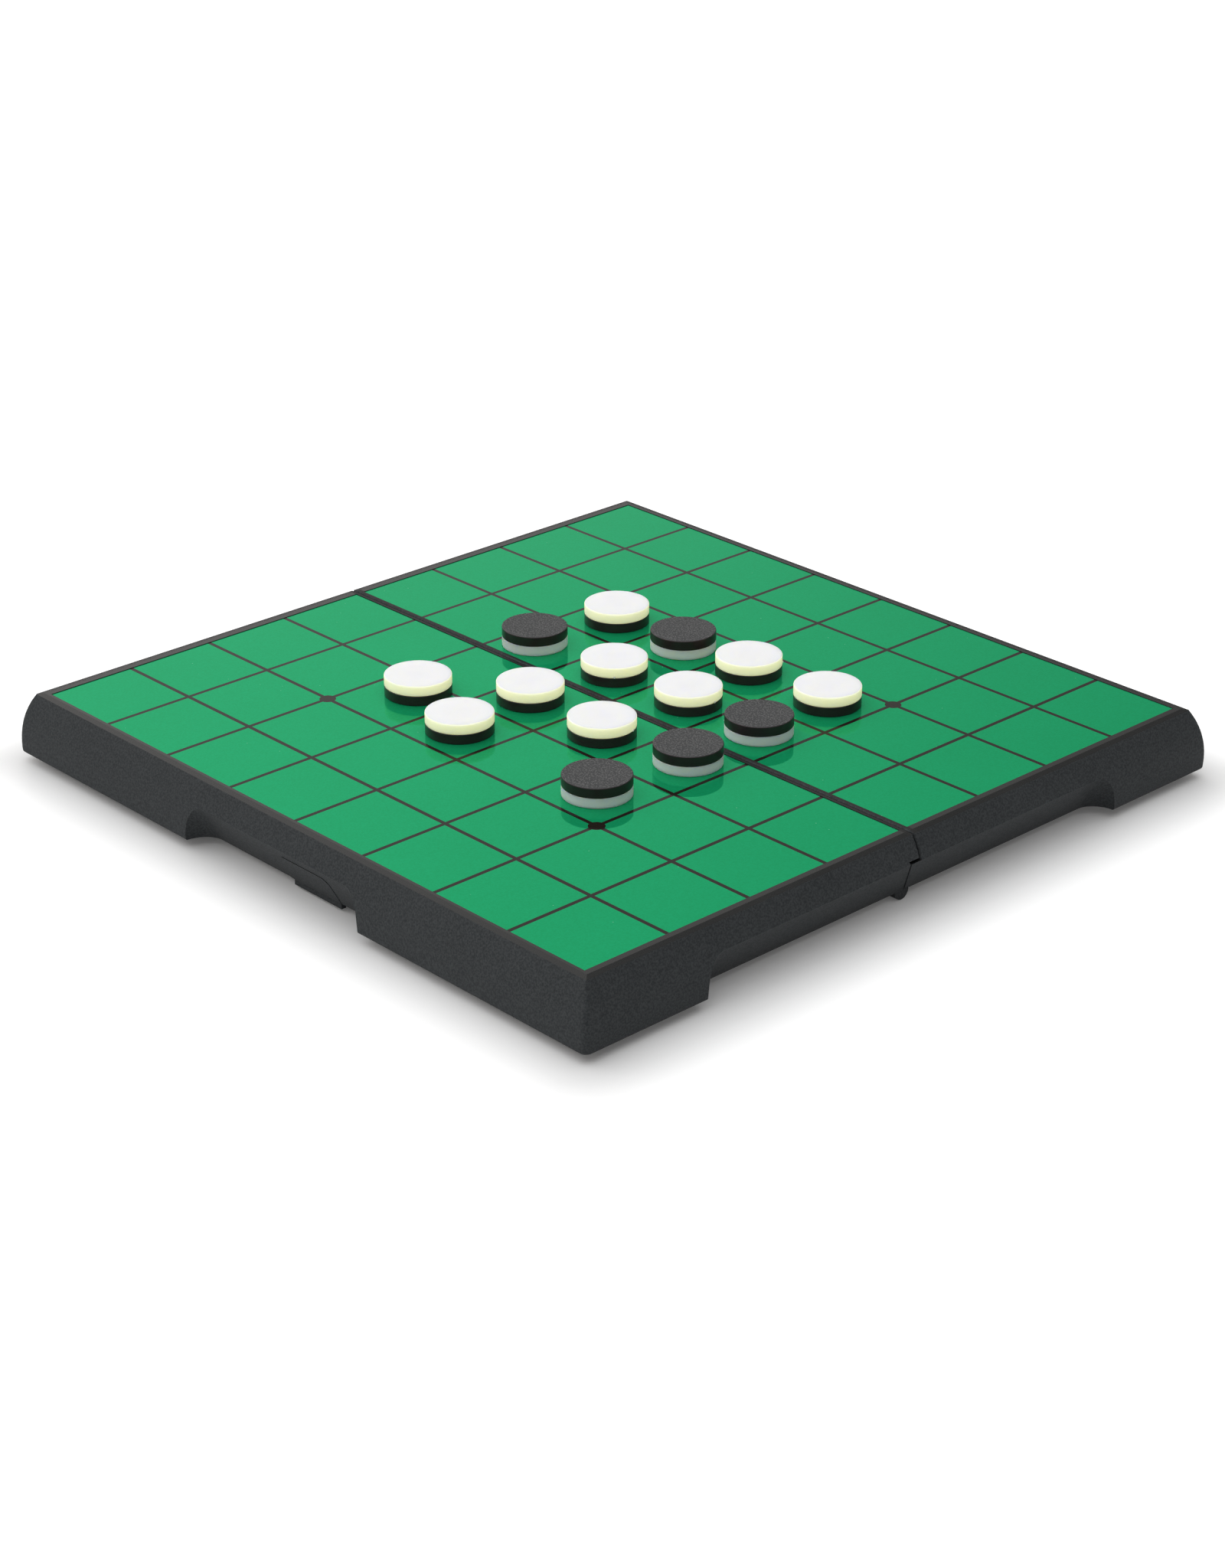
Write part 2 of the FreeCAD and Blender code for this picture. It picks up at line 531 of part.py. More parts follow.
# The two trays
left_side_scoop = mirrored("left_side_scoop", side_scoop)
left_recess = mirrored("left_recess", recess)
left_solid = fuse("left_solid", [left_shell, tip] + left_posts)
left_spaces = fuse("left_spaces", [left_side_scoop, back_scoop, front_scoop, left_recess, ear_space]
                   + left_room)
left_joined = fuse("left_joined",
                   [cut("left_cut", left_solid, left_spaces), tongue, left_pad] + left_knuckles)
left_tray = cut("left_tray", left_joined, fuse("left_bores", bores))
right_solid = fuse("right_solid", [right_shell, ear] + right_posts)
right_spaces = fuse("right_spaces", [side_scoop, back_scoop, front_scoop, recess, tip_space, notch]
                    + right_room)
right_joined = fuse("right_joined", [cut("right_cut", right_solid, right_spaces)] + right_knuckles)
right_tray = cut("right_tray", right_joined, fuse("right_bores", bores))

nodes = {
    "left_tray": left_tray,
    "right_tray": right_tray,
    "left_steel_plate": mirrored("left_plate", right_plate),
    "right_steel_plate": right_plate,
    "left_green_film": mirrored("left_film", right_film),
    "right_green_film": right_film,
    "left_grid_print": mirrored("left_print", right_print),
    "right_grid_print": right_print,
    "hinge_pin_back": pins[0],
    "hinge_pin_front": pins[1],
}

# Discs: the colour on top, squares from the middle across and along the fold, and how far
# off the square's middle the disc lies each way
DISCS = [
    ("white", 1.5, 1.5, -0.9, 0.2),
    ("black", 0.5, 1.5, -2.6, 4.1),
    ("black", 1.5, 0.5, -0.6, 0.0),
    ("white", 0.5, 0.5, -1.1, -0.8),
    ("white", 1.5, -0.5, 0.5, 2.1),
    ("white", -1.5, 1.5, 8.0, -0.2),
    ("white", -0.5, 0.5, -0.3, 2.6),
    ("white", 0.5, -0.5, 0.3, -2.0),
    ("white", 1.5, -1.5, 1.0, -0.8),
    ("white", -1.5, 0.5, -0.8, 0.0),
    ("white", -0.5, -0.5, -1.8, -0.8),
    ("black", 0.5, -1.5, 0.6, -1.7),
    ("black", -0.5, -1.5, 3.1, -2.2),
    ("black", -1.5, -1.5, -0.6, 0.3),
]
HALF = sized("{disc_thick} / 2")
EDGE = sized("{disc_radius}")
BREAK = sized("{joint_break}")
POCKET = sized("{magnet_radius} + {magnet_play}")
POCKET_DEEP = sized("({magnet_thick} + {magnet_play}) / 2")
RING_IN = sized("{spigot_radius} - {spigot_wall}")
RING_OUT = sized("{spigot_radius}")


def disc_half(name, colour):
    """A turned cup: the white half has the joining ring, and the black half its groove."""
    up = "1" if colour == "white" else "-1"
    play = "0" if colour == "white" else sized("{magnet_play}")
    ring = sized("-({spigot_length} + " + play + ")")
    ring_in, ring_out = sized(f"{RING_IN} - {play}"), sized(f"{RING_OUT} + {play}")
    corners = [("0", f"{up} * {POCKET_DEEP}"), (POCKET, f"{up} * {POCKET_DEEP}"), (POCKET, "0"),
               (ring_in, "0"), (ring_in, ring), (ring_out, ring), (ring_out, "0"),
               (sized(f"{EDGE} - {BREAK}"), "0"), (EDGE, f"{up} * {BREAK}"),
               (EDGE, f"{up} * {HALF}"), ("0", f"{up} * {HALF}")]
    body = doc.addObject("PartDesign::Body", name)
    sketch = closed_sketch(body, "XZ_Plane", corners)
    turned = body.newObject("PartDesign::Revolution", name + "_turned")
    turned.Profile = sketch
    turned.ReferenceAxis = (sketch, ["V_Axis"])
    turned.Angle = 360
    doc.recompute([sketch, turned])
    face = number(HALF)
    rims = [f"Edge{place}" for place, edge in enumerate(turned.Shape.Edges, 1)
            if edge.Closed and abs(abs(edge.BoundBox.ZMin) - face) < 1e-6
            and abs(edge.BoundBox.ZLength) < 1e-6]
    rounding = body.newObject("PartDesign::Fillet", name + "_rounding")
    rounding.Base = (turned, rims)
    rounding.setExpression("Radius", sized("{disc_round}"))
    body.Tip = rounding
    return body


for count, (upper, across, along, off_across, off_along) in enumerate(DISCS, 1):
    side = 1 if across > 0 else -1
    place_x = sized(f"{across} * {{cell_side}} + {side} * {{fold_gap}} / 2 + {off_across}")
    place_y = sized(f"{along} * {{cell_side}} + {off_along}")
    place_z = sized(f"{FIELD_Z} + {HALF}")
    name = f"disc_{count:02d}"
    magnet = add("Part::Cylinder", name + "_magnet", Radius=sized("{magnet_radius}"),
                 Height=sized("{magnet_thick}"))
    white = disc_half(name + "_white_half", "white")
    black = disc_half(name + "_black_half", "black")
    for piece in (white, black):
        if upper == "black":
            piece.Placement.Rotation = FreeCAD.Rotation(FreeCAD.Vector(1, 0, 0), 180)
        piece.setExpression("Placement.Base.z", place_z)
    magnet.setExpression("Placement.Base.z", sized(f"{place_z} - {{magnet_thick}} / 2"))
    for kind, piece in (("white_half", white), ("black_half", black), ("magnet", magnet)):
        piece.setExpression("Placement.Base.x", place_x)
        piece.setExpression("Placement.Base.y", place_y)
        nodes[f"{name}_{kind}"] = piece

doc.recompute()
for item in doc.Objects:
    if "Invalid" in item.State or "Error" in item.State:
        raise RuntimeError(f"{item.Name} failed: {item.State}")
for label, piece in nodes.items():
    piece.Label = label
    if piece.Shape.isNull() or not piece.Shape.isValid() or len(piece.Shape.Solids) != 1:
        raise RuntimeError(f"{label} is not one valid solid: {len(piece.Shape.Solids)}")

os.makedirs("parts", exist_ok=True)
for label, piece in nodes.items():
    piece.Shape.exportStep(f"parts/{label}.step")
    print(f"{label:24s} {piece.Shape.Volume:10.1f} mm3")
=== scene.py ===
# %% [markdown]
# # A folding reversi board with fourteen discs
#
# The real object is a travel game. Two shallow dark grey trays, moulded upside down and hinged
# along the middle, carry a glossy green film with a printed grid, and the magnetic discs stick to
# the steel sheet under the film. All of these shapes come from the CAD model, where each piece is
# a node that rides on one half of the board. What this file adds is the photograph's camera, a
# plain studio, a finish for every piece, and the small marks that moulding leaves on the discs.

# %% Load the CAD model
import json
import math
import random

import bpy
from mathutils import Matrix, Vector

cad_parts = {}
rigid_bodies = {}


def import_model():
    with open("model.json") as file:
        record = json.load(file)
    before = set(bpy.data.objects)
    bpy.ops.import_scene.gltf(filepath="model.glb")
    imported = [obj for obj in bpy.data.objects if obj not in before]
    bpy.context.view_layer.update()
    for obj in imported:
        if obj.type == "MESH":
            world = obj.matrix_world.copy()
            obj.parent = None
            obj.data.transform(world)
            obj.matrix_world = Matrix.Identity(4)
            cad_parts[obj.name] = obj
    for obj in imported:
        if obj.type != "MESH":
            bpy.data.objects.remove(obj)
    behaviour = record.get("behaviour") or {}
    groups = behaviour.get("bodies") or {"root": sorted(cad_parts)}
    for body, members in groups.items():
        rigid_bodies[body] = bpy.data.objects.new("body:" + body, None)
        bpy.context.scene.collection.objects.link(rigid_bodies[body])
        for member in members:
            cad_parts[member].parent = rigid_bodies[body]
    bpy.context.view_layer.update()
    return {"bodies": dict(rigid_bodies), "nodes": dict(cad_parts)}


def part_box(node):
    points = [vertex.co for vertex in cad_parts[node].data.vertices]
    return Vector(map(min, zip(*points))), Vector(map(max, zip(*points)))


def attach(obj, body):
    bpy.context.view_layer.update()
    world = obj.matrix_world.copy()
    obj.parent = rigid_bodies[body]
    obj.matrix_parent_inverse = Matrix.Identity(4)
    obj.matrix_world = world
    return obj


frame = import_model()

MM = 0.001
nodes = frame["nodes"]
print("CAD pieces:", len(nodes))

# %% [markdown]
# ## The camera
#
# A camera could be placed by eye and turned until the board looks right. The grid on the film
# gives something better: its crossings are square and evenly spaced, so the place, the heading
# and the focal length follow from where they fall in the frame. They are written here as plain
# numbers. The photograph is upright, and Blender measures the lens against the frame's long side.

# %% Camera
EYE = Vector((-604.164, -644.647, 413.169)) * MM
HEADING = math.radians(43.196)       # from +Y towards +X
LOOK_DOWN = math.radians(25.349)
ROLL = math.radians(0.101)
LENS = 74.40                         # mm, on a 36 mm long side

camera_data = bpy.data.cameras.new("camera")
camera_data.lens = LENS
camera_data.sensor_width = 36.0
camera_data.clip_end = 100.0
camera = bpy.data.objects.new("camera", camera_data)
turn = (
    Matrix.Rotation(-HEADING, 4, "Z")
    @ Matrix.Rotation(math.radians(90.0) - LOOK_DOWN, 4, "X")
    @ Matrix.Rotation(ROLL, 4, "Z")
)
camera.matrix_world = Matrix.Translation(EYE) @ turn
bpy.context.scene.collection.objects.link(camera)
bpy.context.scene.camera = camera
print("camera to board:", round(EYE.length, 3), "m")

# %% [markdown]
# ## Shader recipes
#
# A material is a graph of nodes, and a graph is hard to read as code when every link takes a line.
# Two small classes make it read like a formula. A Wire stands for one output of a node, and its
# operators add Math nodes, so that `1 - mask * 0.3` is written as it is meant. A Recipe is the
# graph, and its one method adds any other node: its settings come first, because they can change
# which sockets the node has, and then the values or wires of its sockets.

# %% Wire and Recipe


class Wire:
    """One output of a node. An expression on wires adds its Math nodes."""

    def __init__(self, recipe, socket):
        self.recipe = recipe
        self.socket = socket

    def maths(self, operation, first, second):
        return self.recipe.node("ShaderNodeMath", {"operation": operation}, {0: first, 1: second})

    def __add__(self, other):
        return self.maths("ADD", self, other)

    def __radd__(self, other):
        return self.maths("ADD", other, self)

    def __sub__(self, other):
        return self.maths("SUBTRACT", self, other)

    def __rsub__(self, other):
        return self.maths("SUBTRACT", other, self)

    def __mul__(self, other):
        return self.maths("MULTIPLY", self, other)

    def __rmul__(self, other):
        return self.maths("MULTIPLY", other, self)


class Recipe:
    """A node graph, with one method that adds any node to it."""

    def __init__(self, tree):
        self.tree = tree
        self.tree.nodes.clear()

    def node(self, kind, settings, sockets, output=0):
        made = self.tree.nodes.new(kind)
        for name, value in settings.items():
            setattr(made, name, value)
        for key, value in sockets.items():
            if isinstance(value, Wire):
                self.tree.links.new(value.socket, made.inputs[key])
            else:
                made.inputs[key].default_value = value
        if made.outputs:
            return Wire(self, made.outputs[output])
        return None

    def fade(self, value, start, end):
        """0 where value is at start, 1 where it is at end, and smooth between."""
        settings = {"interpolation_type": "SMOOTHSTEP"}
        return self.node(
            "ShaderNodeMapRange", settings, {"Value": value, "From Min": start, "From Max": end}
        )

    def colours(self, mask, first, second):
        """The first colour where mask is 0 and the second where it is 1."""
        sockets = {0: mask, 6: first, 7: second}
        return self.node("ShaderNodeMix", {"data_type": "RGBA"}, sockets, output=2)


def grey(value):
    return (value, value, value, 1.0)


# %% [markdown]
# ## The studio
#
# The photograph has a white background with a short grey shadow under the board's bulging walls,
# and no hard highlight anywhere, so the light was large and overhead. A wide sun lamp does that
# without an edge of a lamp showing in the glossy film, and a grey world fills the sides. Together
# they give a level surface a brightness of about one, at which a colour looks as it is written.
#
# A glossy surface shows what stands around it. On the real board the far bevels are dark and the
# film and the rims are not, so the room was dark at the horizon and lighter above it. The film is
# also lighter on the left than on the right, and lighter far away than near. The world below has
# those things and no others.

# %% World and sun
HORIZON = (0.05, 0.05, 0.05, 1.0)       # the world at the horizon
SIDES = (0.70, 0.68, 0.66, 1.0)         # above that, where softboxes stood, a little warm
OVERHEAD = (0.30, 0.31, 0.32, 1.0)      # and from there up to the top
SIDES_FROM = (0.13, 0.27)               # heights, 0 at the horizon and 1 at the top
OVERHEAD_FROM = (0.55, 0.80)
RIGHT_LEVEL = 0.70
LEFT_LEVEL = 1.32
NEAR_LEVEL = 0.70
FAR_LEVEL = 1.60
world = bpy.data.worlds.new("studio")
world.use_nodes = True
bpy.context.scene.world = world
sky = Recipe(world.node_tree)
direction = sky.node("ShaderNodeTexCoord", {}, {}, output="Generated")
across = sky.node("ShaderNodeSeparateXYZ", {}, {0: direction}, output=0)
along = sky.node("ShaderNodeSeparateXYZ", {}, {0: direction}, output=1)
height = sky.node("ShaderNodeSeparateXYZ", {}, {0: direction}, output=2)
low_tone = sky.colours(sky.fade(height, *SIDES_FROM), HORIZON, SIDES)
tone = sky.colours(sky.fade(height, *OVERHEAD_FROM), low_tone, OVERHEAD)
leftwards = RIGHT_LEVEL + sky.fade(along - across, -0.45, 0.45) * (LEFT_LEVEL - RIGHT_LEVEL)
backwards = NEAR_LEVEL + sky.fade(along, 0.40, 0.75) * (FAR_LEVEL - NEAR_LEVEL)
light = sky.node("ShaderNodeBackground", {}, {"Color": tone, "Strength": leftwards * backwards})
sky.node("ShaderNodeOutputWorld", {}, {"Surface": light})

SUN_TILT = math.radians(-4.0)           # to the left, and as much to the back
sun_data = bpy.data.lights.new("soft_sun", "SUN")
sun_data.energy = 1.85
sun_data.angle = math.radians(90.0)
sun = bpy.data.objects.new("soft_sun", sun_data)
sun.rotation_euler = (SUN_TILT, SUN_TILT, 0.0)
bpy.context.scene.collection.objects.link(sun)
bpy.context.scene.view_settings.view_transform = "Standard"
print("sun:", sun_data.energy, "over", round(math.degrees(sun_data.angle)), "degrees")

# %% [markdown]
# The floor is pale. A glow that only the camera and reflections see, and that never lights the board,
# takes it from pale grey to white. It fades out towards the board's outline and stays low inside it,
# which paints shade on the floor around and under the open board, so that the shadow under the walls
# keeps its depth.

# %% Floor
FLOOR_REACH = 20.0     # m, far enough that no view sees its edge above the horizon
FLOOR_TONE = 0.80
OUTLINE = 126.0 * MM   # half the board's width
GLOW_IN_PAINTED_SHADE = 0.07       # at the board's outline and inside it
GLOW_FAR = 0.38        # from GLOW_REACH away from it
GLOW_REACH = 26.0 * MM
floor_mesh = bpy.data.meshes.new("floor")
corners = [(-1, -1), (1, -1), (1, 1), (-1, 1)]
floor_mesh.from_pydata(
    [(x * FLOOR_REACH, y * FLOOR_REACH, 0.0) for x, y in corners], [], [(0, 1, 2, 3)]
)
floor = bpy.data.objects.new("floor", floor_mesh)
bpy.context.scene.collection.objects.link(floor)

floor_material = bpy.data.materials.new("pale_floor")
floor_material.use_nodes = True
paint = Recipe(floor_material.node_tree)
seen = paint.node("ShaderNodeLightPath", {}, {}, output="Is Camera Ray")
mirrored = paint.node("ShaderNodeLightPath", {}, {}, output="Is Glossy Ray")
through = paint.node("ShaderNodeLightPath", {}, {}, output="Is Transmission Ray")
pale = paint.node(
    "ShaderNodeBsdfPrincipled", {}, {"Base Color": grey(FLOOR_TONE), "Roughness": 0.5}
)
spot = paint.node("ShaderNodeTexCoord", {}, {}, output="Object")
unsigned = paint.node("ShaderNodeVectorMath", {"operation": "ABSOLUTE"}, {0: spot})
beyond = paint.node(
    "ShaderNodeVectorMath", {"operation": "SUBTRACT"}, {0: unsigned, 1: (OUTLINE, OUTLINE, 0.0)}
)
outside = paint.node("ShaderNodeVectorMath", {"operation": "MAXIMUM"}, {0: beyond, 1: (0.0, 0.0, 0.0)})
distance = paint.node("ShaderNodeVectorMath", {"operation": "LENGTH"}, {0: outside}, output="Value")
# The weaker glow near and inside the outline is painted shade, fixed to where the open board lies.
glow_level_with_painted_shade = GLOW_IN_PAINTED_SHADE + paint.fade(distance, 0.0, GLOW_REACH) * (GLOW_FAR - GLOW_IN_PAINTED_SHADE)
glow = paint.node(
    "ShaderNodeEmission",
    {},
    {"Color": grey(1.0), "Strength": (seen + mirrored + through) * glow_level_with_painted_shade},
)
paint.node(
    "ShaderNodeOutputMaterial",
    {},
    {"Surface": paint.node("ShaderNodeAddShader", {}, {0: pale, 1: glow})},
)
floor_mesh.materials.append(floor_material)
print("floor:", 2 * FLOOR_REACH, "m wide")

# %% [markdown]
# ## A finish for each piece
#
# Every CAD piece already names a material slot. Each finish below is a function that builds one
# material, and a cell at the end of this part puts them on the pieces. Patterns are laid on Object
# coordinates, which are metres in the board's own frame and move with the piece, so a grain size
# is the same number as on the real part.

# %% What all finishes share
FINISH = {}
LEVEL_FROM = (0.80, 0.97)      # how upright a face's normal is, 1 on a level face


def finish_recipe(name):
    """A new material's recipe and the wire of its Object coordinates."""
    material = bpy.data.materials.new(name)
    material.use_nodes = True
    recipe = Recipe(material.node_tree)
    place = recipe.node("ShaderNodeTexCoord", {}, {}, output="Object")
    return material, recipe, place


def noise(recipe, place, size, detail=2.0):
    """Soft noise whose blobs are about this many millimetres apart."""
    sockets = {"Vector": place, "Scale": 1.0 / (size * MM), "Detail": detail}
    return recipe.node("ShaderNodeTexNoise", {}, sockets)


def bump(recipe, height_wire, depth):
    """A normal that rises and falls by depth millimetres over a height of 0 to 1."""
    sockets = {"Height": height_wire, "Distance": depth * MM, "Strength": 1.0}
    return recipe.node("ShaderNodeBump", {}, sockets)


def facing_up(recipe):
    """1 on level faces, 0 on upright ones."""
    upright = recipe.node("ShaderNodeNewGeometry", {}, {}, output="True Normal")
    tilt = recipe.node("ShaderNodeSeparateXYZ", {}, {0: upright}, output=2)
    steep = recipe.node("ShaderNodeMath", {"operation": "ABSOLUTE"}, {0: tilt})
    return recipe.fade(steep, *LEVEL_FROM)


def surface(recipe, sockets):
    shader = recipe.node("ShaderNodeBsdfPrincipled", {}, sockets)
    recipe.node("ShaderNodeOutputMaterial", {}, {"Surface": shader})


def count_nodes(material):
    print(material.name + ":", len(material.node_tree.nodes), "shader nodes")


# %% [markdown]
# ### Tray plastic
#
# The trays are moulded in dark grey polystyrene with a spark-eroded grain: fine pits, under half
# a millimetre apart, that scatter the light and leave a soft satin sheen. The grain also shows as
# a mottle in the tone, and over that the walls are faintly cloudy, where the plastic cooled
# unevenly. A noise of its own size does each: the grain goes into the bump, and the mottle and the
# clouds into the colour.
#
# The level rims are smoother than the walls, and they get a darker tone: painted shade against the
# stronger light that falls on level faces. The strip of rim along the fold is matt, and painted near
# black as shade for the light lost in the fold's gap. They could be separate materials, but a piece
# has one, so the faces are told apart by how level they are and by how near the fold they lie.

# %% Tray plastic
WALL_TONES = ((0.016, 0.019, 0.021, 1.0), (0.050, 0.055, 0.058, 1.0))
# The level rims are darker than the walls of the same plastic: painted shade against the light from
# above.
SHADED_RIM_TONES = ((0.005, 0.006, 0.006, 1.0), (0.009, 0.010, 0.010, 1.0))
# Painted shade along the fold, where light is lost in the gap.
FOLD_SHADE_TONE = (0.006, 0.006, 0.006, 1.0)
FOLD_SHADE_EDGE = (1.6 * MM, 2.0 * MM)      # from the fold
WALL_ROUGHNESS = 0.60
RIM_ROUGHNESS = 0.22


def tray_plastic():
    material, recipe, place = finish_recipe("tray_plastic")
    grain = noise(recipe, place, 0.40, 3.0)
    mottle = recipe.fade(noise(recipe, place, 0.55, 3.0), 0.30, 0.70)
    cloud = noise(recipe, place, 17.0, 2.0)
    across = recipe.node("ShaderNodeSeparateXYZ", {}, {0: place}, output=0)
    from_fold = recipe.node("ShaderNodeMath", {"operation": "ABSOLUTE"}, {0: across})
    level = facing_up(recipe)
    # Where the painted shade of the fold's gap goes: level faces next to the fold.
    fold_shade = (1 - recipe.fade(from_fold, *FOLD_SHADE_EDGE)) * level
    wall = recipe.colours(mottle * 0.7 + cloud * 0.3, *WALL_TONES)
    # Painted shade on the level faces: a darker tone where more light falls.
    shaded_rim = recipe.colours(cloud, *SHADED_RIM_TONES)
    tint = recipe.colours(level, wall, shaded_rim)
    roughness = WALL_ROUGHNESS - level * (WALL_ROUGHNESS - RIM_ROUGHNESS)
    surface(recipe, {
        "Base Color": recipe.colours(fold_shade, tint, FOLD_SHADE_TONE),
        "Roughness": roughness + cloud * 0.08 + fold_shade * 0.25,
        "Normal": bump(recipe, grain * (1 - level * 0.8), 0.06),
        "IOR": 1.30,
    })
    return material


FINISH["tray"] = tray_plastic()
count_nodes(FINISH["tray"])

# %% [markdown]
# ### Film and print
#
# The playing field is a printed plastic film with a hard gloss: it mirrors the discs that stand
# on it. A low roughness does that. Clear gloss alone would lay a white veil over the colour, but
# steel lies under this film and sends the light back through the green, so the shine is green as
# well. A third of metal in the mix does that. The green keeps almost no red, and a fine mottle and
# a sprinkling of tiny pale specks break it up, as print and dust do on the real one. The grid is
# dark brown ink with the same gloss.

# %% Film and print
FILM_TONES = ((0.007, 0.303, 0.112, 1.0), (0.009, 0.353, 0.142, 1.0))
FILM_SHINE = (0.5, 0.9, 0.7, 1.0)
SPECK_TONE = (0.25, 0.55, 0.40, 1.0)
SPECK_SPACING = 6.0 * MM
INK_TONES = ((0.012, 0.009, 0.007, 1.0), (0.018, 0.014, 0.011, 1.0))


def field_film():
    material, recipe, place = finish_recipe("field_film")
    cloud = noise(recipe, place, 30.0)
    mottle = recipe.fade(noise(recipe, place, 0.55, 3.0), 0.30, 0.70)
    green = recipe.colours(mottle * 0.6 + cloud * 0.4, *FILM_TONES)
    cells = recipe.node(
        "ShaderNodeTexVoronoi", {"feature": "F1"}, {"Vector": place, "Scale": 1.0 / SPECK_SPACING}
    )
    speck = 1 - recipe.fade(cells, 0.018, 0.035)
    ripple = noise(recipe, place, 9.0)
    surface(recipe, {
        "Base Color": recipe.colours(speck * 0.5, green, SPECK_TONE),
        "Metallic": 0.33,
        "Specular Tint": FILM_SHINE,
        "IOR": 1.10,
        "Roughness": 0.03 + speck * 0.3,
        "Normal": bump(recipe, ripple, 0.008),
    })
    return material


def field_print():
    material, recipe, place = finish_recipe("field_print")
    mottle = noise(recipe, place, 0.5)
    surface(recipe, {
        "Base Color": recipe.colours(mottle, *INK_TONES),
        "IOR": 1.16,
        "Roughness": 0.04 + mottle * 0.04,
    })
    return material


FINISH["film"] = field_film()
FINISH["print"] = field_print()
count_nodes(FINISH["film"])
count_nodes(FINISH["print"])

# %% [markdown]
# ### Discs
#
# Each disc is a white half pressed onto a black half. The white is a milky plastic: light enters
# the top and comes out of the side, so a white half that lies on top glows and one that lies
# below looks grey. Subsurface scattering gives the softness, but it loses in the black half much
# of the light that a real disc passes on, so the sides of the white halves are painted lighter and
# creamier than their tops, and the side of an upper white half also gets a painted cream glow.

# %% White halves
WHITE_TONES = ((0.91, 0.91, 0.90, 1.0), (0.94, 0.94, 0.93, 1.0))
# Side tints: painted light, lighter and creamier than the top, for light the plastic carries to the
# side.
CREAM_LIT_SIDE = (1.0, 0.99, 0.80, 1.0)
PALE_LIT_SIDE = (1.0, 1.0, 0.96, 1.0)
# A painted glow, emitted by the side of an upper white half.
CREAM_PAINTED_GLOW = (0.36, 0.34, 0.16, 1.0)


def disc_white(name, lit_side_tint, painted_glow=None):
    material, recipe, place = finish_recipe(name)
    side = 1 - facing_up(recipe)
    cloud = noise(recipe, place, 4.0)
    top_tint = recipe.colours(cloud, *WHITE_TONES)
    grain = noise(recipe, place, 0.6)
    sockets = {
        "Base Color": recipe.colours(side, top_tint, lit_side_tint),
        "Roughness": 0.30 + cloud * 0.08,
        "Subsurface Weight": 1.0,
        "Subsurface Radius": (1.0, 0.95, 0.70),
        "Subsurface Scale": 3.0 * MM,
        "IOR": 1.3,
        "Normal": bump(recipe, grain, 0.01),
    }
    # The painted glow: emission on the side, standing in for light that passes through the plastic.
    if painted_glow:
        sockets["Emission Color"] = recipe.colours(side, grey(0.0), painted_glow)
        sockets["Emission Strength"] = 1.0
    surface(recipe, sockets)
    return material


FINISH["white"] = disc_white("disc_white", PALE_LIT_SIDE)
# The copy for upper halves carries the cream painted light and the painted glow.
UPPER_WHITE_PAINTED_LIGHT = disc_white("disc_white_upper", CREAM_LIT_SIDE, CREAM_PAINTED_GLOW)
count_nodes(FINISH["white"])
count_nodes(UPPER_WHITE_PAINTED_LIGHT)

# %% [markdown]
# The black halves have a matt face with the faint rings and specks of a turned mould, and smoother
# sides. Object coordinates start at the board's middle, so a Mapping node moves the pattern to the
# disc's own centre, and a sine of the distance from there makes the rings.

# %% Black halves
FACE_TONES = ((0.010, 0.012, 0.014, 1.0), (0.020, 0.022, 0.024, 1.0))
FACE_SPECKS = (0.085, 0.085, 0.085, 1.0)
BLACK_SIDE = (0.021, 0.010, 0.015, 1.0)
RING_STEP = 0.9 * MM


def disc_black(name, centre):
    material, recipe, place = finish_recipe(name)
    centred = recipe.node(
        "ShaderNodeMapping", {}, {"Vector": place, "Location": -centre}
    )
    flat = recipe.node("ShaderNodeVectorMath", {"operation": "MULTIPLY"}, {0: centred, 1: (1, 1, 0)})
    radius = recipe.node(
        "ShaderNodeVectorMath", {"operation": "LENGTH"}, {0: flat}, output="Value"
    )
    turns = radius * (2 * math.pi / RING_STEP)
    rings = recipe.node("ShaderNodeMath", {"operation": "SINE"}, {0: turns})
    specks = noise(recipe, centred, 0.50, 4.0)
    cloud = noise(recipe, centred, 5.0)
    face_tint = recipe.colours(cloud, *FACE_TONES)
    face_tint = recipe.colours(recipe.fade(specks, 0.47, 0.62), face_tint, FACE_SPECKS)
    face = facing_up(recipe)
    surface(recipe, {
        "Base Color": recipe.colours(face, BLACK_SIDE, face_tint),
        "Roughness": 0.32 + face * 0.30,
        "Normal": bump(recipe, rings * 0.2 + specks, 0.02),
    })
    return material


# %% [markdown]
# ### Metal
#
# The sheets under the film and the pins are steel, and the magnets are ferrite. Little of them
# shows, and only from below or when the board is half shut, but they get a finish that fits: a
# noise that is drawn out along one axis makes brushed streaks.

# %% Metal
STREAK_DARK = 0.8


def metal(name, colour, roughness, stretch):
    """Brushed metal, drawn out along the axes where stretch is under 1."""
    material, recipe, place = finish_recipe(name)
    drawn = recipe.node("ShaderNodeMapping", {}, {"Vector": place, "Scale": stretch})
    streak = noise(recipe, drawn, 0.5, 3.0)
    dark = tuple(channel * STREAK_DARK for channel in colour)
    surface(recipe, {
        "Base Color": recipe.colours(streak, (*dark, 1.0), (*colour, 1.0)),
        "Metallic": 1.0,
        "Roughness": roughness + streak * 0.12,
        "Normal": bump(recipe, streak, 0.01),
    })
    return material


FINISH["plate"] = metal("plate_steel", (0.55, 0.56, 0.57), 0.35, (0.05, 1.0, 1.0))
FINISH["pin"] = metal("pin_steel", (0.60, 0.60, 0.60), 0.25, (1.0, 0.05, 1.0))
FINISH["magnet"] = metal("magnet", (0.45, 0.44, 0.43), 0.30, (1.0, 1.0, 1.0))
print("finishes by word:", list(FINISH))

